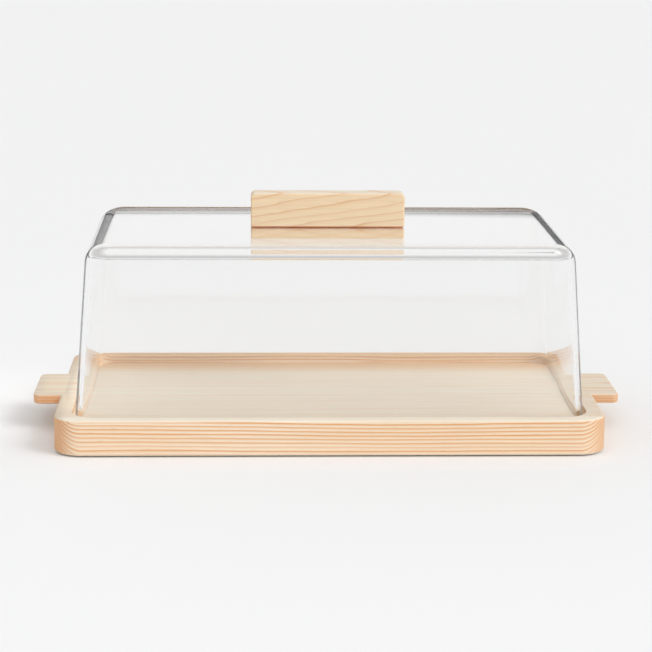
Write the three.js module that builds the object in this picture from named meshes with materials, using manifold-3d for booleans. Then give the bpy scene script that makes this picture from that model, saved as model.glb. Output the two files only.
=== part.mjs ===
// A butter dish: a solid ash tray with a thin tab at each end and a shallow recess in its top,
// and a clear acrylic cover that stands in the recess and lifts straight off by an ash handle.
//
// Millimetres, +Z up. X runs along the dish and Y across it, with the front at -Y. The origin
// is the centre of the tray's underside.

import * as THREE from 'three';
import { mergeVertices } from 'three/addons/utils/BufferGeometryUtils.js';
import Module from 'manifold-3d';

// Tray
const TRAY_LENGTH = 215;
const TRAY_DEPTH = 118;
const TRAY_HEIGHT = 14;
const TRAY_CORNER = 11;
const TRAY_EASE = 1;
const TAB_REACH = 11;
const TAB_WIDTH = 36;
const TAB_THICKNESS = 3.8;
const TAB_CORNER = 3;
const TAB_EASE = 0.6;
const RECESS_DEPTH_BELOW_TOP = 3;
const RECESS_END_LIP = 6.7;
const RECESS_SIDE_LIP = 5.5;
const RECESS_CORNER = 10.5;

// Cover
const COVER_END_CLEARANCE = 1;
const COVER_SIDE_CLEARANCE = 1.5;
const COVER_CORNER = 10;
const COVER_WALL = 2.4;
const COVER_TOP_Z = 80;
const COVER_END_DRAFT = THREE.MathUtils.degToRad(4.2);
const COVER_SIDE_DRAFT = THREE.MathUtils.degToRad(1.6);
const COVER_END_EDGE = { width: 7, height: 7 };
const COVER_SIDE_EDGE = { width: 3, height: 3 };
const COVER_END_FILLET = { width: 5, height: 4 };
const COVER_SIDE_FILLET = { width: 9, height: 3 };
const COVER_SHARPEST_CORNER = 0.2;

// Handle, the block that backs it inside the cover, and the two screws through both
const HANDLE_LENGTH = 62;
const HANDLE_DEPTH = 9;
const HANDLE_TOP_Z = 94;
const HANDLE_CORNER = 2;
const BLOCK_EASE = 0.7;
const SQUARE_CORNER = 1;
const BACKING_THICKNESS = 4;
const BACKING_CORNER = 1.2;
const JOINT_GAP = 0.1;
const SCREW_SPACING = 40;
const SCREW_LENGTH = 16;
const SCREW_RADIUS = 1.6;
const SCREW_HEAD_RADIUS = 3.2;
const SCREW_HEAD_HEIGHT = 2;
const SCREW_HEAD_EDGE = 0.3;
const SCREW_HEAD_SINK = 0.2;
const SCREW_TIP = 3;
const SCREW_CLEARANCE = 0.3;
const DRIVE_SLOT_LENGTH = 3.4;
const DRIVE_SLOT_WIDTH = 0.7;
const DRIVE_SLOT_DEPTH = 1.1;

// Sizes worked out from those above
const RECESS_FLOOR_Z = TRAY_HEIGHT - RECESS_DEPTH_BELOW_TOP;
const RECESS_LENGTH = TRAY_LENGTH - 2 * RECESS_END_LIP;
const RECESS_WIDTH = TRAY_DEPTH - 2 * RECESS_SIDE_LIP;
const COVER_LENGTH = RECESS_LENGTH - 2 * COVER_END_CLEARANCE;
const COVER_WIDTH = RECESS_WIDTH - 2 * COVER_SIDE_CLEARANCE;
const COVER_INNER_TOP_Z = COVER_TOP_Z - COVER_WALL;
const HANDLE_BOTTOM_Z = COVER_TOP_Z + JOINT_GAP;
const BACKING_TOP_Z = COVER_INNER_TOP_Z - JOINT_GAP;
const BACKING_BOTTOM_Z = BACKING_TOP_Z - BACKING_THICKNESS;
const SCREW_HEAD_Z = BACKING_BOTTOM_Z + SCREW_HEAD_SINK;
const SCREW_OFFSETS = [-SCREW_SPACING / 2, SCREW_SPACING / 2];

// Fineness of the round stretches
const CORNER_STEPS = 8;
const EASE_STEPS = 3;
const TOP_EDGE_STEPS = 12;
const ROUND_STEPS = 24;

// How far a cutting body reaches past the face it cuts, and how close points are welded
const OVERCUT = 1;
const WELD_DISTANCE = 1e-4;

const wasm = await Module();
wasm.setup();

// ---- Solids -------------------------------------------------------------------------------

function toSolid(geometry) {
  const bare = geometry.clone();
  bare.deleteAttribute('normal');
  bare.deleteAttribute('uv');
  const merged = mergeVertices(bare, WELD_DISTANCE);
  return new wasm.Manifold(new wasm.Mesh({
    numProp: 3,
    vertProperties: Float32Array.from(merged.attributes.position.array),
    triVerts: Uint32Array.from(merged.index.array),
  }));
}

function toGeometry(solid) {
  const mesh = solid.getMesh();
  const geometry = new THREE.BufferGeometry();
  geometry.setAttribute('position', new THREE.BufferAttribute(mesh.vertProperties, 3));
  geometry.setIndex(new THREE.BufferAttribute(mesh.triVerts, 1));
  geometry.computeVertexNormals();
  return geometry;
}

// ---- Outlines and basic bodies ------------------------------------------------------------

// A rectangle centred on the origin, with one radius on its lower and one on its upper corners.
function roundedRectangle(length, height, lowerRadius, upperRadius = lowerRadius) {
  const x = length / 2;
  const y = height / 2;
  const shape = new THREE.Shape();
  shape.moveTo(-x + lowerRadius, -y);
  shape.lineTo(x - lowerRadius, -y);
  shape.absarc(x - lowerRadius, -y + lowerRadius, lowerRadius, -Math.PI / 2, 0, false);
  shape.lineTo(x, y - upperRadius);
  shape.absarc(x - upperRadius, y - upperRadius, upperRadius, 0, Math.PI / 2, false);
  shape.lineTo(-x + upperRadius, y);
  shape.absarc(-x + upperRadius, y - upperRadius, upperRadius, Math.PI / 2, Math.PI, false);
  shape.lineTo(-x, -y + lowerRadius);
  shape.absarc(-x + lowerRadius, -y + lowerRadius, lowerRadius, Math.PI, 1.5 * Math.PI, false);
  return shape;
}

// The outline extruded from bottom to top, with every end edge rounded to the radius `ease`.
function slab(shape, bottom, top, ease, easeSteps = EASE_STEPS) {
  const geometry = new THREE.ExtrudeGeometry(shape, {
    depth: top - bottom - 2 * ease,
    bevelEnabled: ease > 0,
    bevelThickness: ease,
    bevelSize: ease,
    bevelOffset: -ease,
    bevelSegments: easeSteps,
    curveSegments: CORNER_STEPS,
  });
  geometry.translate(0, 0, bottom + ease);
  return geometry;
}

// A round post on the Z axis through (x, 0).
function post(radius, bottom, top, x) {
  const geometry = new THREE.CylinderGeometry(radius, radius, top - bottom, ROUND_STEPS);
  geometry.rotateX(Math.PI / 2);
  geometry.translate(x, 0, (bottom + top) / 2);
  return toSolid(geometry);
}

// ---- Tray ---------------------------------------------------------------------------------

function trayBoard() {
  const board = slab(
    roundedRectangle(TRAY_LENGTH, TRAY_DEPTH, TRAY_CORNER), 0, TRAY_HEIGHT, TRAY_EASE);
  const tabs = slab(
    roundedRectangle(TRAY_LENGTH + 2 * TAB_REACH, TAB_WIDTH, TAB_CORNER),
    TRAY_HEIGHT - TAB_THICKNESS, TRAY_HEIGHT, TAB_EASE);
  const recess = slab(
    roundedRectangle(RECESS_LENGTH, RECESS_WIDTH, RECESS_CORNER),
    RECESS_FLOOR_Z, TRAY_HEIGHT + OVERCUT, 0);
  return toSolid(board).add(toSolid(tabs)).subtract(toSolid(recess));
}

// ---- Cover --------------------------------------------------------------------------------

// How far an edge has drawn in at this depth below the top. It is a quarter of an ellipse.
function edgeOffset(edge, depth) {
  const rise = Math.max(0, 1 - depth / edge.height);
  return edge.width * (1 - Math.sqrt(1 - rise * rise));
}

// One level of the cover's outer face (inset 0) or inner face, leaning in at the draft angles.
function coverRing(inset, endOffset, sideOffset, z) {
  const height = z - RECESS_FLOOR_Z;
  const reachX = COVER_LENGTH / 2 - inset - Math.tan(COVER_END_DRAFT) * height - endOffset;
  const reachY = COVER_WIDTH / 2 - inset - Math.tan(COVER_SIDE_DRAFT) * height - sideOffset;
  const radiusX = Math.max(COVER_CORNER - inset - endOffset, COVER_SHARPEST_CORNER);
  const radiusY = Math.max(COVER_CORNER - inset - sideOffset, COVER_SHARPEST_CORNER);
  const ring = [];
  for (const [quarter, sideX, sideY] of [[0, 1, 1], [1, -1, 1], [2, -1, -1], [3, 1, -1]]) {
    for (let step = 0; step <= CORNER_STEPS; step += 1) {
      const angle = Math.PI / 2 * (quarter + step / CORNER_STEPS);
      const x = sideX * (reachX - radiusX) + radiusX * Math.cos(angle);
      const y = sideY * (reachY - radiusY) + radiusY * Math.sin(angle);
      ring.push([x, y, z]);
    }
  }
  return ring;
}

// A closed body through rings of equal length, with a flat face on the first and the last.
function loft(rings) {
  const count = rings[0].length;
  const last = (rings.length - 1) * count;
  const index = [];
  for (let start = 0; start < last; start += count) {
    for (let i = 0; i < count; i += 1) {
      const j = (i + 1) % count;
      index.push(start + i, start + j, start + count + j);
      index.push(start + i, start + count + j, start + count + i);
    }
  }
  for (let i = 1; i < count - 1; i += 1) {
    index.push(0, i + 1, i);
    index.push(last, last + i, last + i + 1);
  }
  const geometry = new THREE.BufferGeometry();
  geometry.setAttribute('position', new THREE.Float32BufferAttribute(rings.flat(2), 3));
  geometry.setIndex(index);
  return toSolid(geometry);
}

// A domed block that stands on the rim's level: the cover's outside, or the space inside it,
// which reaches a little lower so that it cuts the outside open.
function domedBlock(inset, end, side, bottom) {
  const top = COVER_TOP_Z - inset;
  const deepest = Math.max(end.height, side.height);
  const rings = [coverRing(inset, 0, 0, bottom)];
  for (let step = 0; step <= TOP_EDGE_STEPS; step += 1) {
    const depth = deepest * (1 - Math.sin(Math.PI / 2 * step / TOP_EDGE_STEPS));
    rings.push(coverRing(inset, edgeOffset(end, depth), edgeOffset(side, depth), top - depth));
  }
  return loft(rings);
}

function coverShell() {
  const outside = domedBlock(0, COVER_END_EDGE, COVER_SIDE_EDGE, RECESS_FLOOR_Z);
  const inside = domedBlock(
    COVER_WALL, COVER_END_FILLET, COVER_SIDE_FILLET, RECESS_FLOOR_Z - OVERCUT);
  let shell = outside.subtract(inside);
  for (const x of SCREW_OFFSETS) {
    const hole = post(SCREW_RADIUS + SCREW_CLEARANCE, COVER_INNER_TOP_Z - OVERCUT,
      COVER_TOP_Z + OVERCUT, x);
    shell = shell.subtract(hole);
  }
  return shell;
}

// ---- Handle, backing block and screws -----------------------------------------------------

// A long block seen from the front as a rectangle with its own lower and upper corner radii.
function longBlock(bottom, top, lowerRadius, upperRadius) {
  const outline = roundedRectangle(HANDLE_LENGTH, top - bottom, lowerRadius, upperRadius);
  const geometry = slab(outline, -HANDLE_DEPTH / 2, HANDLE_DEPTH / 2, BLOCK_EASE);
  geometry.rotateX(Math.PI / 2);
  geometry.translate(0, 0, (bottom + top) / 2);
  return toSolid(geometry);
}

// The screw's outline as [radius, height] pairs from its head to its tip, grown by `extra`.
function screwProfile(extra) {
  const r = SCREW_RADIUS + extra;
  const head = SCREW_HEAD_RADIUS + extra;
  const neck = SCREW_HEAD_Z + SCREW_HEAD_HEIGHT + extra;
  const tip = SCREW_HEAD_Z + SCREW_LENGTH + extra;
  const points = [[0, SCREW_HEAD_Z - extra], [head, SCREW_HEAD_Z - extra],
    [head, SCREW_HEAD_Z + SCREW_HEAD_EDGE], [r, neck], [r, tip - SCREW_TIP], [0, tip]];
  return points.map(([radius, height]) => new THREE.Vector2(radius, height));
}

function screwBody(x, extra = 0) {
  const geometry = new THREE.LatheGeometry(screwProfile(extra), ROUND_STEPS);
  geometry.rotateX(Math.PI / 2);
  geometry.translate(x, 0, 0);
  return toSolid(geometry);
}

function handleBlock() {
  let block = longBlock(HANDLE_BOTTOM_Z, HANDLE_TOP_Z, SQUARE_CORNER, HANDLE_CORNER);
  for (const x of SCREW_OFFSETS) {
    block = block.subtract(screwBody(x, SCREW_CLEARANCE));
  }
  return block;
}

function backingBlock() {
  let block = longBlock(BACKING_BOTTOM_Z, BACKING_TOP_Z, BACKING_CORNER, SQUARE_CORNER);
  for (const x of SCREW_OFFSETS) {
    block = block.subtract(screwBody(x, SCREW_CLEARANCE));
    block = block.subtract(
      post(SCREW_HEAD_RADIUS + SCREW_CLEARANCE, BACKING_BOTTOM_Z - OVERCUT, SCREW_HEAD_Z, x));
  }
  return block;
}

// A countersunk wood screw, head down, with a crossed drive recess.
function handleScrew(x) {
  let screw = screwBody(x);
  for (const turn of [0, Math.PI / 2]) {
    const slot = new THREE.BoxGeometry(DRIVE_SLOT_LENGTH, DRIVE_SLOT_WIDTH, 2 * DRIVE_SLOT_DEPTH);
    slot.rotateZ(turn);
    slot.translate(x, 0, SCREW_HEAD_Z);
    screw = screw.subtract(toSolid(slot));
  }
  return screw;
}

// ---- Assembly -----------------------------------------------------------------------------

const ash = { color: 0xecd2b0, roughness: 0.62, metalness: 0 };
const acrylic = { color: 0xf4f6f6, roughness: 0.04, metalness: 0, transparent: true, opacity: 0.3 };
const steel = { color: 0xb9bcbf, roughness: 0.3, metalness: 1 };

function piece(name, solid, look) {
  const mesh = new THREE.Mesh(toGeometry(solid), new THREE.MeshStandardMaterial(look));
  mesh.name = name;
  return mesh;
}

const lid = new THREE.Group();
lid.add(
  piece('cover_shell', coverShell(), acrylic),
  piece('handle_block', handleBlock(), ash),
  piece('backing_block', backingBlock(), ash),
  piece('handle_screw_left', handleScrew(SCREW_OFFSETS[0]), steel),
  piece('handle_screw_right', handleScrew(SCREW_OFFSETS[1]), steel),
);

const butterDish = new THREE.Group();
butterDish.add(piece('tray_board', trayBoard(), ash), lid);

export default butterDish;
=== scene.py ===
"""A butter dish: an ash tray with a tab at each end, and a clear acrylic cover with an ash handle.

Metres, +Z up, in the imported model's own frame: X along the dish, the front at -Y, and the origin
in the middle of the tray's underside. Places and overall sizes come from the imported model.
"""

import math

import bmesh
import bpy
from mathutils import Matrix, Vector


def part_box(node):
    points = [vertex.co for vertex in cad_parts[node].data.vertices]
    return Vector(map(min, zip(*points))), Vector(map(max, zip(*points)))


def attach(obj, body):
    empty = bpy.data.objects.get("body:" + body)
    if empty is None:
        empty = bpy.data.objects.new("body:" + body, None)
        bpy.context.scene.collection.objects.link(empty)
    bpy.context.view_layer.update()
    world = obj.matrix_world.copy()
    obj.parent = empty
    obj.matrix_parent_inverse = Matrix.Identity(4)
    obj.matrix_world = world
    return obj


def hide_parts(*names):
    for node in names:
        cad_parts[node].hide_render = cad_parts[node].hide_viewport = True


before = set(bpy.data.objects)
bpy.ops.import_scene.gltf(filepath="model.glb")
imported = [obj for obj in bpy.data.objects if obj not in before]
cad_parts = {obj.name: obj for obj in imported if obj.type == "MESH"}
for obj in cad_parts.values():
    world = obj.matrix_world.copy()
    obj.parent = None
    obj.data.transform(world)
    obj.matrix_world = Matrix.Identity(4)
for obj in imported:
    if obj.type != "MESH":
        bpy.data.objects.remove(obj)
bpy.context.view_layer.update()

MM = 0.001

# ---- Sizes ----------------------------------------------------------------------------------

TRAY_LOW, TRAY_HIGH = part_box("tray_board")
COVER_LOW, COVER_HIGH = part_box("cover_shell")

# Tray
TAB_REACH = 11 * MM
TAB_WIDTH = 36 * MM
TAB_THICKNESS = 3.8 * MM
TAB_CORNER = 3 * MM
TAB_EASE = 0.6 * MM
TAB_ROOT = 3 * MM
TRAY_CORNER = 11 * MM
TRAY_EASE = 1 * MM
RECESS_END_LIP = 6.7 * MM
RECESS_SIDE_LIP = 5.5 * MM
RECESS_CORNER = 10.5 * MM
RECESS_EDGE = 0.4 * MM
RECESS_FILLET = 0.6 * MM
TRAY_HALF_LENGTH = TRAY_HIGH.x - TAB_REACH
TRAY_HALF_DEPTH = TRAY_HIGH.y
TRAY_TOP = TRAY_HIGH.z
RECESS_FLOOR = COVER_LOW.z

# Cover: a rounded edge or fillet is (its width, its height), and COVER_LIFT is how far the rim
# keeps clear of the recess floor
COVER_CORNER = 10 * MM
COVER_WALL = 2.4 * MM
COVER_END_EDGE = (7 * MM, 7 * MM)
COVER_SIDE_EDGE = (3 * MM, 3 * MM)
COVER_END_FILLET = (5 * MM, 4 * MM)
COVER_SIDE_FILLET = (9 * MM, 3 * MM)
COVER_SHARPEST_CORNER = 0.2 * MM
COVER_RIM_ROUND = 0.5 * MM
COVER_LIFT = 0.04 * MM
COVER_END_DRAFT = math.radians(4.2)
COVER_SIDE_DRAFT = math.radians(1.6)

# How far in from a rounded edge a flat face gets a ring of its own, so that it is shaded flat
SLAB_MARGIN = 0.6 * MM
COVER_TOP_MARGIN = 1 * MM

# Handle, backing block and screws (a screw's widths are radii)
SCREW_NODES = ("handle_screw_left", "handle_screw_right")
HANDLE_CORNER = 2 * MM
SQUARE_CORNER = 1 * MM
BACKING_CORNER = 1.2 * MM
BLOCK_EASE = 0.7 * MM
SCREW_HOLE = 1.9 * MM
SCREW_HOLE_SPARE = 0.5 * MM
SCREW_SHANK = 1.15 * MM
SCREW_THREAD = 1.6 * MM
THREAD_PITCH = 1.25 * MM
THREAD_START = 0.3 * MM
SCREW_HEAD = 3.2 * MM
HEAD_EDGE = 0.3 * MM
HEAD_BEVEL_WIDTH = 0.15 * MM
HEAD_BEVEL_HEIGHT = 0.12 * MM
HEAD_DEPTH = 2 * MM
SCREW_TIP = 3 * MM
SCREW_TIP_FLAT = 0.05 * MM
SCREW_TIP_SHARE = 0.12
COUNTERSINK_CLEARANCE = 0.25 * MM
DRIVE_WIDTH = 0.75 * MM
DRIVE_LENGTH = 3.6 * MM
DRIVE_DEPTH = 1.2 * MM
DRIVE_TAPER = 0.45

# Where the tray's tone changes: from one place to another along X or Y
TAB_STRETCH = (98 * MM, 106 * MM)
LEFT_TAB_STRETCH = (-106 * MM, -102 * MM)
LEFT_TO_RIGHT = (-50 * MM, 50 * MM)
BACK_STRETCH = (28 * MM, 50 * MM)
FRONT_LIP_STRETCH = (-54 * MM, -52 * MM)

# How far the painted shade in the gap under the handle reaches, and where it has faded out
GAP_SHADE_REACH = (0.30 * MM, 0.75 * MM)

# Ash: how much late wood there is at places through one growth ring, and colours
BROAD_RING = ((0.0, 0.05), (0.28, 0.0), (0.60, 0.45), (0.80, 1.0), (0.92, 0.90), (1.0, 0.05))
FINE_RING = ((0.0, 0.0), (0.45, 0.0), (0.74, 0.18), (0.87, 0.45), (0.94, 1.0), (1.0, 0.05))
PAINTED_SHEEN_ASH = 0xE8DFCE
LATE_ASH = 0xDB9146
STREAK_ASH = 0xE0B98F
PORE_ASH = 0xB98A5A
END_ASH = 0xD2A06C
PALE_EDGE_ASH = 0xF2DCBD
GAP_SHADE_ASH = 0xE87A1C
BACK_ASH = 0xD9AC7C
FRONT_LIP_PAINTED_LIGHT_ASH = 0xF6EDDC
LEFT_TAB_PAINTED_SHADE_ASH = 0xAFA999
TAB_SIDE_PAINTED_SHADE_ASH = 0xC97F38

# Camera
CAMERA_AZIMUTH = math.radians(2.28)
CAMERA_ELEVATION = math.radians(12.44)
CAMERA_ROLL = math.radians(0.49)
CAMERA_TARGET = Vector((-0.2 * MM, 0, 38.4 * MM))
CAMERA_DISTANCE = 861 * MM
CAMERA_LENS = 116

# Floor: its gap below the tray, and where along Y its tone changes
FLOOR_RADIUS = 7
FLOOR_BOTTOM = -20 * MM
FLOOR_GAP = 0.6 * MM
FLOOR_STRETCH = (-350 * MM, 400 * MM)

# Room: SKYLINE is how high the dark wall behind reaches. The others are parts of a unit direction:
# its Y where the wall begins, and its Z for the wall's blurred edge and the change overhead
SKYLINE = math.radians(9.38)
SKYLINE_BLUR = 0.0003
BEHIND = (0.60, 0.75)
PALE_UP_TO = 0.35
DIM_FROM = 0.70

# Render paths, which are long inside the acrylic
MOST_BOUNCES = 64
MOST_SEE_THROUGHS = 24

# Fineness of the round stretches, and how far a cutting shape goes past what it cuts
CORNER_STEPS = 24
BLOCK_CORNER_STEPS = 8
COVER_WALL_STEPS = 8
TOP_EDGE_STEPS = 32
EASE_STEPS = 6
ROUND_STEPS = 48
THREAD_STEPS = 96
OVERCUT = 1 * MM


# ---- Meshes ---------------------------------------------------------------------------------

def corner_turns(steps):
    """For each point round four corners: its direction from the corner's centre, and the sides."""
    found = []
    for index, (side_x, side_y) in enumerate(((1, -1), (1, 1), (-1, 1), (-1, -1))):
        for step in range(steps + 1):
            angle = math.radians(90 * (index - 1 + step / steps))
            found.append((math.cos(angle), math.sin(angle), side_x, side_y))
    return found


def outline(half_x, half_y, lower, upper=None, steps=CORNER_STEPS):
    """Points round a rectangle with a radius on its lower corners and one on its upper corners."""
    upper = lower if upper is None else upper
    points = []
    for unit_x, unit_y, side_x, side_y in corner_turns(steps):
        radius = lower if side_y < 0 else upper
        points.append((side_x * (half_x - radius) + radius * unit_x,
                       side_y * (half_y - radius) + radius * unit_y))
    return points


def quarter(steps):
    """Pairs (1 - cos, sin) of the angles of a quarter turn, for a rounded edge."""
    angles = [math.radians(90 * step / steps) for step in range(steps + 1)]
    return [(1 - math.cos(a), math.sin(a)) for a in angles]


def loft(name, rings):
    """A closed body through rings of equal length, with a flat face on the first and the last."""
    body = bmesh.new()
    loops = [[body.verts.new(point) for point in ring] for ring in rings]
    count = len(rings[0])
    for lower, upper in zip(loops, loops[1:]):
        for i in range(count):
            j = (i + 1) % count
            body.faces.new((lower[i], lower[j], upper[j], upper[i]))
    body.faces.new(list(reversed(loops[0])))
    body.faces.new(loops[-1])
    bmesh.ops.recalc_face_normals(body, faces=body.faces)
    mesh = bpy.data.meshes.new(name)
    body.to_mesh(mesh)
    body.free()
    made = bpy.data.objects.new(name, mesh)
    bpy.context.scene.collection.objects.link(made)
    return made


def combine(target, tool, operation):
    """Joins tool to target, or cuts it out, and removes tool."""
    cut = target.modifiers.new("combine", "BOOLEAN")
    cut.operation = operation
    cut.solver = "EXACT"
    cut.object = tool
    depsgraph = bpy.context.evaluated_depsgraph_get()
    mesh = bpy.data.meshes.new_from_object(target.evaluated_get(depsgraph))
    target.modifiers.remove(cut)
    target.data = mesh
    bpy.data.objects.remove(tool)


def shade(piece, sharp_angle=35):
    """Smooth shading that keeps the sharp edges and the flat faces."""
    mesh = piece.data
    mesh.polygons.foreach_set("use_smooth", [True] * len(mesh.polygons))
    mesh.set_sharp_from_angle(angle=math.radians(sharp_angle))
    weighted = piece.modifiers.new("flat_faces", "WEIGHTED_NORMAL")
    weighted.keep_sharp = True
    weighted.weight = 80


def place(piece, body, node, material):
    """The piece gets its material and stands for the CAD node."""
    piece.data.materials.clear()
    piece.data.materials.append(material)
    shade(piece)
    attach(piece, body)
    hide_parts(node)


# ---- Tray -----------------------------------------------------------------------------------

def eased_slab(name, half_x, half_y, corner, bottom, top, ease, centre_x=0.0):
    """A flat board with rounded corners and eased edges."""
    profile = [(ease * (1 - s), bottom + ease * c) for c, s in quarter(EASE_STEPS)]
    profile += [(ease * c, top - ease + ease * s) for c, s in quarter(EASE_STEPS)]
    profile = [(ease + SLAB_MARGIN, bottom)] + profile + [(ease + SLAB_MARGIN, top)]
    rings = []
    for inset, z in profile:
        points = outline(half_x - inset, half_y - inset, corner - inset)
        rings.append([(x + centre_x, y, z) for x, y in points])
    return loft(name, rings)


def recess_cutter():
    """The shape of the recess: a small fillet at its floor and a rounded edge at its lip."""
    half_x = TRAY_HALF_LENGTH - RECESS_END_LIP
    half_y = TRAY_HALF_DEPTH - RECESS_SIDE_LIP
    profile = [(-RECESS_FILLET * (1 - s), RECESS_FLOOR + RECESS_FILLET * c)
               for c, s in quarter(EASE_STEPS)]
    profile += [(RECESS_EDGE * c, TRAY_TOP - RECESS_EDGE + RECESS_EDGE * s)
                for c, s in quarter(EASE_STEPS)]
    profile.append((RECESS_EDGE, TRAY_TOP + OVERCUT))
    rings = []
    for growth, z in profile:
        points = outline(half_x + growth, half_y + growth, RECESS_CORNER + growth)
        rings.append([(x, y, z) for x, y in points])
    return loft("recess_cutter", rings)


def make_tray():
    tray = eased_slab("tray", TRAY_HALF_LENGTH, TRAY_HALF_DEPTH, TRAY_CORNER,
                      TRAY_LOW.z, TRAY_TOP, TRAY_EASE)
    half_tab = (TAB_REACH + TAB_ROOT) / 2
    for side in (-1, 1):
        tab = eased_slab("tab", half_tab, TAB_WIDTH / 2, TAB_CORNER, TRAY_TOP - TAB_THICKNESS,
                         TRAY_TOP, TAB_EASE, side * (TRAY_HIGH.x - half_tab))
        combine(tray, tab, "UNION")
    combine(tray, recess_cutter(), "DIFFERENCE")
    return tray


# ---- Round parts ----------------------------------------------------------------------------

def circle(radius, x, z):
    angles = [2 * math.pi * i / ROUND_STEPS for i in range(ROUND_STEPS)]
    return [(x + radius * math.cos(a), radius * math.sin(a), z) for a in angles]


def post(name, radius, x, bottom, top):
    return loft(name, [circle(radius, x, bottom), circle(radius, x, top)])


def screw_place(node):
    """Where a screw stands: the x of its axis, and the heights of its head's face and its tip."""
    low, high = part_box(node)
    return (low.x + high.x) / 2, low.z, high.z


# ---- Cover ----------------------------------------------------------------------------------

def cover_ring(inset, off_x, off_y, z):
    """One level of the outer face (inset 0) or the inner face (inset = the wall), leaning in."""
    half_x = COVER_HIGH.x - inset
    half_y = COVER_HIGH.y - inset
    height = z - COVER_LOW.z
    lean_x = math.tan(COVER_END_DRAFT) * height
    lean_y = math.tan(COVER_SIDE_DRAFT) * height
    radius_x = max(COVER_CORNER - inset - off_x, COVER_SHARPEST_CORNER)
    radius_y = max(COVER_CORNER - inset - off_y, COVER_SHARPEST_CORNER)
    reach_x = half_x - lean_x - off_x
    reach_y = half_y - lean_y - off_y
    points = []
    for unit_x, unit_y, side_x, side_y in corner_turns(CORNER_STEPS):
        points.append((side_x * (reach_x - radius_x) + radius_x * unit_x,
                       side_y * (reach_y - radius_y) + radius_y * unit_y, z))
    return points


def edge_offset(edge, depth):
    """How far a rounded edge (its width, its height) has drawn in at this depth below the top."""
    width, height = edge
    rise = max(0.0, 1 - depth / height)
    return width * (1 - math.sqrt(1 - rise * rise))


def cover_face(inset):
    """The levels of one face from just above the rim to the flat top."""
    top = COVER_HIGH.z - inset
    ends = COVER_END_FILLET if inset else COVER_END_EDGE
    sides = COVER_SIDE_FILLET if inset else COVER_SIDE_EDGE
    deepest = max(ends[1], sides[1])
    start = COVER_LOW.z + COVER_RIM_ROUND
    wall_height = top - deepest - start
    wall = [cover_ring(inset, 0, 0, start + wall_height * i / COVER_WALL_STEPS)
            for i in range(COVER_WALL_STEPS)]
    rounding = []
    for _, s in quarter(TOP_EDGE_STEPS):
        depth = deepest * (1 - s)
        rounding.append(cover_ring(inset, edge_offset(ends, depth), edge_offset(sides, depth),
                                   top - depth))
    flat_top = cover_ring(inset, ends[0] + COVER_TOP_MARGIN, sides[0] + COVER_TOP_MARGIN, top)
    return wall + rounding + [flat_top]


def rim_round(inset, way):
    """The rounding below one face's wall, drawn in (way 1) or out (way -1) down to the rim."""
    rings = []
    for c, s in quarter(EASE_STEPS)[1:]:
        off = way * COVER_RIM_ROUND * c
        z = COVER_LOW.z + COVER_LIFT + COVER_RIM_ROUND * (1 - s)
        rings.append(cover_ring(inset, off, off, z))
    return rings


def make_cover():
    rings = list(reversed(cover_face(0))) + rim_round(0, 1)
    rings += list(reversed(rim_round(COVER_WALL, -1))) + cover_face(COVER_WALL)
    cover = loft("acrylic_cover", rings)
    for node in SCREW_NODES:
        x, _, _ = screw_place(node)
        hole = post("hole", SCREW_HOLE, x, COVER_HIGH.z - 2 * COVER_WALL, COVER_HIGH.z + COVER_WALL)
        combine(cover, hole, "DIFFERENCE")
    return cover


# ---- Handle, backing block and screws -------------------------------------------------------

def long_block(name, node, lower, upper):
    """A block whose face towards -Y has its own lower and upper corner radii, with eased ends."""
    low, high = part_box(node)
    centre_z = (low.z + high.z) / 2
    half_z = (high.z - low.z) / 2
    profile = [(BLOCK_EASE * (1 - s), low.y + BLOCK_EASE * c) for c, s in quarter(EASE_STEPS)]
    profile += [(BLOCK_EASE * c, high.y - BLOCK_EASE + BLOCK_EASE * s)
                for c, s in quarter(EASE_STEPS)]
    rings = []
    for inset, y in profile:
        points = outline(high.x - inset, half_z - inset, lower - inset, upper - inset,
                         steps=BLOCK_CORNER_STEPS)
        rings.append([(x, y, centre_z + z) for x, z in points])
    return loft(name, rings)


def make_handle():
    handle = long_block("handle", "handle_block", SQUARE_CORNER, HANDLE_CORNER)
    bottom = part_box("handle_block")[0].z
    for node in SCREW_NODES:
        x, _, tip = screw_place(node)
        hole = post("hole", SCREW_HOLE, x, bottom - OVERCUT, tip + SCREW_HOLE_SPARE)
        combine(handle, hole, "DIFFERENCE")
    return handle


def make_backing():
    backing = long_block("handle_backing", "backing_block", BACKING_CORNER, SQUARE_CORNER)
    bottom, top = (corner.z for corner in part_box("backing_block"))
    wide = SCREW_HEAD + COUNTERSINK_CLEARANCE
    for node in SCREW_NODES:
        x, head, _ = screw_place(node)
        neck = head + HEAD_DEPTH + COUNTERSINK_CLEARANCE
        hole = loft("hole", [circle(wide, x, bottom - OVERCUT), circle(wide, x, head + HEAD_EDGE),
                             circle(SCREW_HOLE, x, neck), circle(SCREW_HOLE, x, top + OVERCUT)])
        combine(backing, hole, "DIFFERENCE")
    return backing


def thread_ring(x, z, bottom, top):
    """The shank at height z: a V thread that winds round it and fades out at both ends."""
    fade = min(1.0, (z - bottom) / THREAD_PITCH, (top - z) / SCREW_TIP)
    points = []
    for i in range(ROUND_STEPS):
        turn = i / ROUND_STEPS
        phase = ((z - bottom) / THREAD_PITCH - turn) % 1
        ridge = max(0.0, 1 - abs(phase - 0.5) * 4)
        core = SCREW_SHANK * min(1.0, SCREW_TIP_SHARE + (top - z) / SCREW_TIP)
        radius = core + (SCREW_THREAD - SCREW_SHANK) * ridge * max(fade, 0.0)
        angle = 2 * math.pi * turn
        points.append((x + radius * math.cos(angle), radius * math.sin(angle), z))
    return points


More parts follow.
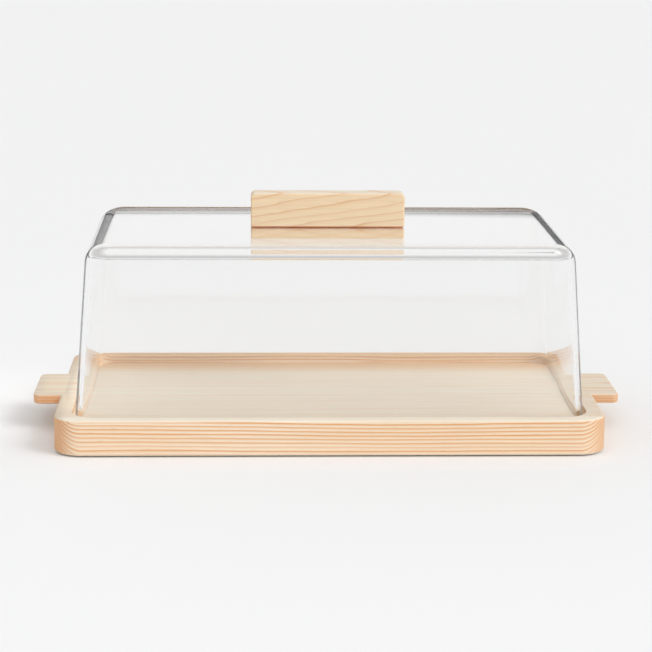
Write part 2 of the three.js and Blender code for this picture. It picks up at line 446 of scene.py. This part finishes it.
def make_screw(name, node):
    """A countersunk screw, head down, with a rolled thread and a crossed drive recess."""
    x, head, tip = screw_place(node)
    rings = [circle(SCREW_HEAD - HEAD_BEVEL_WIDTH, x, head),
             circle(SCREW_HEAD, x, head + HEAD_BEVEL_HEIGHT),
             circle(SCREW_HEAD, x, head + HEAD_EDGE), circle(SCREW_THREAD, x, head + HEAD_DEPTH)]
    start = head + HEAD_DEPTH + THREAD_START
    length = tip - SCREW_TIP_FLAT - start
    for i in range(THREAD_STEPS + 1):
        rings.append(thread_ring(x, start + length * i / THREAD_STEPS, start, tip))
    screw = loft(name, rings)
    for turn in (0, 1):
        half_x = (DRIVE_LENGTH if turn else DRIVE_WIDTH) / 2
        half_y = (DRIVE_WIDTH if turn else DRIVE_LENGTH) / 2
        slot_rings = []
        for share, z in ((1.0, head - OVERCUT), (1.0, head), (DRIVE_TAPER, head + DRIVE_DEPTH)):
            tip_x = half_x * (share if turn else 1)
            tip_y = half_y * (1 if turn else share)
            slot_rings.append([(x + tip_x, -tip_y, z), (x + tip_x, tip_y, z),
                               (x - tip_x, tip_y, z), (x - tip_x, -tip_y, z)])
        combine(screw, loft("drive", slot_rings), "DIFFERENCE")
    return screw


# ---- Materials ------------------------------------------------------------------------------

def linear(hex_colour):
    """An sRGB colour such as 0xD8B48C as linear red, green, blue and alpha."""
    channels = [(hex_colour >> shift & 255) / 255 for shift in (16, 8, 0)]
    return [c / 12.92 if c <= 0.04045 else ((c + 0.055) / 1.055) ** 2.4 for c in channels] + [1.0]


class Graph:
    """Short calls that add and link the nodes of one material or world."""

    def __init__(self, tree):
        self.tree = tree
        tree.nodes.clear()

    def node(self, kind, inputs=None, **settings):
        made = self.tree.nodes.new("ShaderNode" + kind)
        for key, value in settings.items():
            setattr(made, key, value)
        for key, value in (inputs or {}).items():
            self.put(made.inputs[key], value)
        return made

    def put(self, socket, value):
        if isinstance(value, bpy.types.NodeSocket):
            self.tree.links.new(value, socket)
        else:
            socket.default_value = value

    def math(self, operation, *values):
        made = self.node("Math", operation=operation)
        for socket, value in zip(made.inputs, values):
            self.put(socket, value)
        return made.outputs[0]

    def stretch(self, vector, scale):
        return self.node("Mapping", {"Vector": vector, "Scale": scale}).outputs[0]

    def noise(self, vector, scale=1.0, detail=2.0, roughness=0.5):
        inputs = {"Vector": vector, "Scale": scale, "Detail": detail, "Roughness": roughness}
        return self.node("TexNoise", inputs).outputs["Fac"]

    def span(self, value, low, high, new_low, new_high, smooth=False):
        made = self.node("MapRange", {"Value": value, "From Min": low, "From Max": high,
                                      "To Min": new_low, "To Max": new_high})
        if smooth:
            made.interpolation_type = "SMOOTHSTEP"
        return made.outputs[0]

    def ramp(self, value, stops):
        made = self.node("ValToRGB", {"Fac": value})
        elements = made.color_ramp.elements
        while len(elements) < len(stops):
            elements.new(1.0)
        for element, (place_, colour) in zip(elements, stops):
            element.position = place_
            element.color = colour
        return made.outputs["Color"]

    def mix(self, share, first, second, blend="MIX"):
        made = self.node("Mix", data_type="RGBA", blend_type=blend)
        self.put(made.inputs[0], share)
        self.put(made.inputs[6], first)
        self.put(made.inputs[7], second)
        return made.outputs[2]


def new_material(name):
    material = bpy.data.materials.new(name)
    material.use_nodes = True
    return material, Graph(material.node_tree)


def growth_rings(g, position, heart, ring_width, turn, wander, strength, profile):
    """Where each point is in its growth ring, from 0 to 1, and how much late wood it holds."""
    tilt = g.node("Mapping", {"Vector": position, "Rotation": [math.radians(a) for a in turn]})
    axis = g.node("SeparateXYZ", {"Vector": tilt.outputs[0]})
    across = g.math("SUBTRACT", axis.outputs["Y"], heart[0])
    above = g.math("SUBTRACT", axis.outputs["Z"], heart[1])
    radius = g.math("SQRT", g.math("ADD", g.math("MULTIPLY", across, across),
                                   g.math("MULTIPLY", above, above)))

    drift = g.noise(g.stretch(position, (5, 26, 26)), 1, 2)
    waver = g.noise(g.stretch(position, (22, 160, 160)), 1, 2)
    phase = g.math("DIVIDE", radius, ring_width)
    phase = g.math("ADD", phase, g.math("MULTIPLY", g.math("SUBTRACT", drift, 0.5), 2.6 * wander))
    phase = g.math("ADD", phase, g.math("MULTIPLY", g.math("SUBTRACT", waver, 0.5), 0.8 * wander))
    ring = g.math("FRACT", phase)
    each = g.node("TexWhiteNoise", {"W": g.math("FLOOR", phase)}, noise_dimensions="1D")

    late = g.ramp(ring, [(place_, (share, share, share, 1)) for place_, share in profile])
    depth = g.span(each.outputs["Value"], 0, 1, 0.45 * strength, strength)
    return ring, g.math("MULTIPLY", late, depth)


def tray_tones(g, spot, level, on_tab, colour):
    """The top turns darker and more orange towards the tray's back; painted light on the front lip,
    and painted shade on the tabs: the left tab's top greyer, their sides darker orange, more on the
    left.
    """
    # The top turns darker and more orange towards the back.
    at_back = g.span(spot.outputs["Y"], *BACK_STRETCH, 0, 0.85, smooth=True)
    colour = g.mix(g.math("MULTIPLY", at_back, level), colour, linear(BACK_ASH))
    # Painted light: the front lip's top is mixed towards a paler ash.
    painted_light_front = g.span(spot.outputs["Y"], *FRONT_LIP_STRETCH, 0.8, 0, smooth=True)
    colour = g.mix(g.math("MULTIPLY", painted_light_front, level), colour, linear(FRONT_LIP_PAINTED_LIGHT_ASH))
    # Painted shade: the left tab's top is mixed towards a greyer, darker ash.
    painted_shade_left_tab = g.span(spot.outputs["X"], *LEFT_TAB_STRETCH, 0.5, 0, smooth=True)
    colour = g.mix(g.math("MULTIPLY", painted_shade_left_tab, level), colour, linear(LEFT_TAB_PAINTED_SHADE_ASH))
    # Painted shade: the tabs' sides go darker orange, more on the left, away from the key light.
    tab_side_shade = g.math("MULTIPLY", on_tab, g.span(level, 0, 1, 1, 0))
    tab_side_shade = g.math("MULTIPLY", tab_side_shade, g.span(spot.outputs["X"], *LEFT_TO_RIGHT, 0.62, 0.38))
    return g.mix(tab_side_shade, colour, linear(TAB_SIDE_PAINTED_SHADE_ASH))


def ash_wood(name, pale, heart, ring_width, turn=(0, 0, 0), wander=1.0, strength=1.0, flat=1.0,
             profile=BROAD_RING, board=False, foot=None):
    """Ash: growth rings round a heart line that runs along X, with pores, fibres and end grain.

    pale are the two colours that the wood between the rings varies between. heart is the (y, z)
    that the rings are round, ring_width their mean width, turn the tilt of the heart line in
    degrees, wander how far the rings stray, strength how dark they are, flat how much of that the
    faces that look up or down keep, as part of a painted sheen on them, and profile the tone
    through one ring. board adds what is seen on the tray: stronger lines on the tabs, and
    tray_tones. foot is a height where the wood meets another piece, and a thin band of painted
    shade goes there.
    """
    material, g = new_material(name)
    position = g.node("TexCoord").outputs["Object"]
    spot = g.node("SeparateXYZ", {"Vector": position})
    normal = g.node("SeparateXYZ", {"Vector": g.node("TexCoord").outputs["Normal"]})
    level = g.span(g.math("ABSOLUTE", normal.outputs["Z"]), 0.3, 0.9, 0, 1, smooth=True)
    ring, late = growth_rings(g, position, heart, ring_width, turn, wander, strength, profile)
    kept = flat
    if board:
        on_tab = g.span(g.math("ABSOLUTE", spot.outputs["X"]), *TAB_STRETCH, 0, 1, smooth=True)
        kept = g.span(on_tab, 0, 1, flat, 0.55)
    # Painted sheen: the ring lines fade on faces that look up or down, as if washed out by
    # reflected light.
    late = g.math("MULTIPLY", late, g.span(level, 0, 1, 1, kept))

    fibre = g.noise(g.stretch(position, (60, 2600, 2600)), 1, 3, 0.6)
    streak = g.noise(g.stretch(position, (14, 420, 420)), 1, 3, 0.6)
    cloud = g.noise(g.stretch(position, (9, 20, 20)), 1, 2)
    pore = g.noise(g.stretch(position, (220, 5200, 5200)), 1, 1)
    pore = g.math("MULTIPLY", g.span(pore, 0.60, 0.72, 0, 1), g.span(ring, 0.0, 0.45, 1.0, 0.15))

    early = g.mix(g.span(cloud, 0.3, 0.7, 0, 1), linear(pale[0]), linear(pale[1]))
    # Painted sheen: faces that look up or down are mixed towards a greyer, paler ash.
    early = g.mix(level, early, linear(PAINTED_SHEEN_ASH))
    colour = g.mix(late, early, linear(LATE_ASH))
    if board:
        colour = tray_tones(g, spot, level, on_tab, colour)
    colour = g.mix(g.span(streak, 0.35, 0.72, 0, 0.22), colour, linear(STREAK_ASH))
    colour = g.mix(g.math("MULTIPLY", pore, 0.30), colour, linear(PORE_ASH))
    grey = g.span(fibre, 0.25, 0.75, 0.955, 1.035)
    tone = g.node("CombineColor", {"Red": grey, "Green": grey, "Blue": grey})
    colour = g.mix(1.0, colour, tone.outputs[0], "MULTIPLY")

    # Painted shade: a thin dark orange band at the foot height, where the handle sits on the cover,
    # stands in for the shadowed gap between them.
    if foot is not None:
        from_foot = g.math("ABSOLUTE", g.math("SUBTRACT", spot.outputs["Z"], foot))
        colour = g.mix(g.span(from_foot, *GAP_SHADE_REACH, 1, 0, smooth=True), colour,
                       linear(GAP_SHADE_ASH))
    end_grain = g.span(g.math("ABSOLUTE", normal.outputs["X"]), 0.55, 0.95, 0, 0.55, smooth=True)
    colour = g.mix(end_grain, colour, g.mix(0.5, colour, linear(END_ASH)))
    # Convex edges are mixed towards a paler ash.
    pale_edge = g.span(g.node("NewGeometry").outputs["Pointiness"], 0.50, 0.58, 0, 0.25)
    colour = g.mix(pale_edge, colour, linear(PALE_EDGE_ASH))

    rough = g.math("ADD", g.span(fibre, 0.2, 0.8, 0.50, 0.64), g.math("MULTIPLY", late, -0.06))
    relief = g.math("ADD", g.math("MULTIPLY", fibre, 0.35), g.math("MULTIPLY", pore, -0.9))
    relief = g.math("ADD", relief, g.math("MULTIPLY", late, 0.35))
    bump = g.node("Bump", {"Height": relief, "Strength": 0.35, "Distance": 0.0001})
    surface = g.node("BsdfPrincipled", {"Base Color": colour, "Roughness": rough,
                                        "Normal": bump.outputs[0], "IOR": 1.45,
                                        "Specular IOR Level": 0.35})
    g.node("OutputMaterial", {"Surface": surface.outputs[0]})
    return material


def clear_acrylic():
    """Polished acrylic that lamps shine through, with faint wipe marks and a cool body tint."""
    material, g = new_material("clear_acrylic")
    position = g.node("TexCoord").outputs["Object"]
    smear = g.noise(g.stretch(position, (35, 60, 60)), 1, 3, 0.55)
    wipe = g.noise(g.stretch(position, (900, 140, 140)), 1, 2)
    rough = g.math("ADD", g.span(smear, 0.45, 0.75, 0, 0.004), g.span(wipe, 0.55, 0.8, 0, 0.003))
    ripple = g.noise(g.stretch(position, (26, 26, 26)), 1, 1)
    bump = g.node("Bump", {"Height": ripple, "Strength": 0.05, "Distance": 0.00001})
    surface = g.node("BsdfPrincipled", {"Base Color": (0.985, 0.986, 0.984, 1), "Roughness": rough,
                                        "IOR": 1.49, "Transmission Weight": 1.0,
                                        "Normal": bump.outputs[0]})
    see_through = g.node("BsdfTransparent", {"Color": (0.985, 0.985, 0.985, 1)})
    lamp_ray = g.node("LightPath").outputs["Is Shadow Ray"]
    both = g.node("MixShader")
    for socket, value in zip(both.inputs, (lamp_ray, surface.outputs[0], see_through.outputs[0])):
        g.put(socket, value)
    body = g.node("VolumeAbsorption", {"Color": (0.70, 0.78, 0.90, 1), "Density": 1.5})
    g.node("OutputMaterial", {"Surface": both.outputs[0], "Volume": body.outputs[0]})
    return material


def screw_steel():
    material, g = new_material("screw_steel")
    position = g.node("TexCoord").outputs["Object"]
    turned = g.noise(g.stretch(position, (500, 500, 4000)), 1, 2)
    stain = g.noise(g.stretch(position, (300, 300, 300)), 1, 3)
    colour = g.mix(g.span(stain, 0.35, 0.7, 0, 1), linear(0xC9CBCC), linear(0xA9ABAD))
    rough = g.span(turned, 0.3, 0.7, 0.22, 0.38)
    bump = g.node("Bump", {"Height": turned, "Strength": 0.25, "Distance": 0.00005})
    surface = g.node("BsdfPrincipled", {"Base Color": colour, "Metallic": 1.0, "Roughness": rough,
                                        "Normal": bump.outputs[0]})
    g.node("OutputMaterial", {"Surface": surface.outputs[0]})
    return material


# ---- Studio ---------------------------------------------------------------------------------

def make_camera():
    across = math.cos(CAMERA_ELEVATION)
    forward = Vector((math.sin(CAMERA_AZIMUTH) * across, math.cos(CAMERA_AZIMUTH) * across,
                      -math.sin(CAMERA_ELEVATION)))
    level = Vector((math.cos(CAMERA_AZIMUTH), -math.sin(CAMERA_AZIMUTH), 0))
    upright = level.cross(forward)
    right = math.cos(CAMERA_ROLL) * level + math.sin(CAMERA_ROLL) * upright
    up = -math.sin(CAMERA_ROLL) * level + math.cos(CAMERA_ROLL) * upright
    data = bpy.data.cameras.new("camera")
    data.sensor_width = 36
    data.lens = CAMERA_LENS
    camera = bpy.data.objects.new("camera", data)
    turn = Matrix((right, up, -forward)).transposed().to_4x4()
    camera.matrix_world = Matrix.Translation(CAMERA_TARGET - CAMERA_DISTANCE * forward) @ turn
    bpy.context.scene.collection.objects.link(camera)
    bpy.context.scene.camera = camera


def make_floor():
    """A round, nearly white floor that is a little paler near the camera."""
    floor = post("floor", FLOOR_RADIUS, 0, FLOOR_BOTTOM, -FLOOR_GAP)
    material, g = new_material("floor")
    position = g.node("TexCoord").outputs["Object"]
    mottle = g.noise(g.stretch(position, (3, 3, 3)), 1, 2)
    colour = g.mix(mottle, (0.858, 0.859, 0.862, 1), (0.864, 0.865, 0.866, 1))
    along = g.node("SeparateXYZ", {"Vector": position})
    near = g.span(along.outputs["Y"], *FLOOR_STRETCH, 1, 0)
    colour = g.mix(near, colour, (0.90, 0.901, 0.902, 1))
    surface = g.node("BsdfPrincipled", {"Base Color": colour, "Roughness": 0.9,
                                        "Specular IOR Level": 0.1})
    g.node("OutputMaterial", {"Surface": surface.outputs[0]})
    floor.data.materials.append(material)


def make_world():
    """A pale room that is dimmer overhead, with a low dark wall straight behind the dish.

    The cover's flat top mirrors the wall's upper edge, which makes the grey band along its rear.
    """
    world = bpy.data.worlds.new("studio")
    bpy.context.scene.world = world
    world.use_nodes = True
    g = Graph(world.node_tree)
    direction = g.node("SeparateXYZ", {"Vector": g.node("TexCoord").outputs["Generated"]})
    dark = (0.03, 0.03, 0.035, 1)
    pale = (0.92, 0.92, 0.92, 1)
    dim = (0.60, 0.60, 0.60, 1)
    wall_top = math.sin(SKYLINE)
    room = g.ramp(direction.outputs["Z"], [(0, pale), (PALE_UP_TO, pale), (DIM_FROM, dim)])
    wall = g.ramp(direction.outputs["Z"], [(0, dark), (wall_top - SKYLINE_BLUR, dark),
                                           (wall_top + SKYLINE_BLUR, pale), (PALE_UP_TO, pale),
                                           (DIM_FROM, dim)])
    colour = g.mix(g.span(direction.outputs["Y"], *BEHIND, 0, 1), room, wall)
    sky = g.node("Background", {"Color": colour, "Strength": 1.0})
    g.node("OutputWorld", {"Surface": sky.outputs[0]})


def sun(name, come_from, spread, strength):
    """A lamp that refracted rays don't see: the acrylic already lets its light straight through."""
    data = bpy.data.lights.new(name, "SUN")
    data.angle = math.radians(spread)
    data.energy = strength
    lamp = bpy.data.objects.new(name, data)
    lamp.rotation_euler = Vector(come_from).to_track_quat("Z", "Y").to_euler()
    lamp.visible_transmission = False
    bpy.context.scene.collection.objects.link(lamp)


# ---- The scene ------------------------------------------------------------------------------

make_camera()
make_world()
make_floor()
sun("key", (1.2, -0.7, 1.1), 30, 1.15)
sun("fill", (-0.1, -0.3, 1.0), 70, 0.42)

tray_ash = ash_wood("tray_ash", pale=(0xF4E4CE, 0xF1DABC), heart=(0.5 * MM, -43 * MM),
                    ring_width=1.05 * MM, flat=0.25, board=True)
handle_ash = ash_wood("handle_ash", pale=(0xFBE4C2, 0xF9DCB5), heart=(4 * MM, 40 * MM),
                      ring_width=3.6 * MM, turn=(0, 9, 3), wander=1.5, strength=0.75,
                      profile=FINE_RING, foot=COVER_HIGH.z)
acrylic = clear_acrylic()
steel = screw_steel()

place(make_tray(), "tray", "tray_board", tray_ash)
place(make_cover(), "lid", "cover_shell", acrylic)
place(make_handle(), "lid", "handle_block", handle_ash)
place(make_backing(), "lid", "backing_block", handle_ash)
for node in SCREW_NODES:
    place(make_screw(node.removeprefix("handle_"), node), "lid", node, steel)

bpy.context.scene.view_settings.view_transform = "Standard"
bpy.context.scene.cycles.max_bounces = MOST_BOUNCES
bpy.context.scene.cycles.glossy_bounces = MOST_BOUNCES
bpy.context.scene.cycles.transmission_bounces = MOST_BOUNCES
bpy.context.scene.cycles.transparent_max_bounces = MOST_SEE_THROUGHS
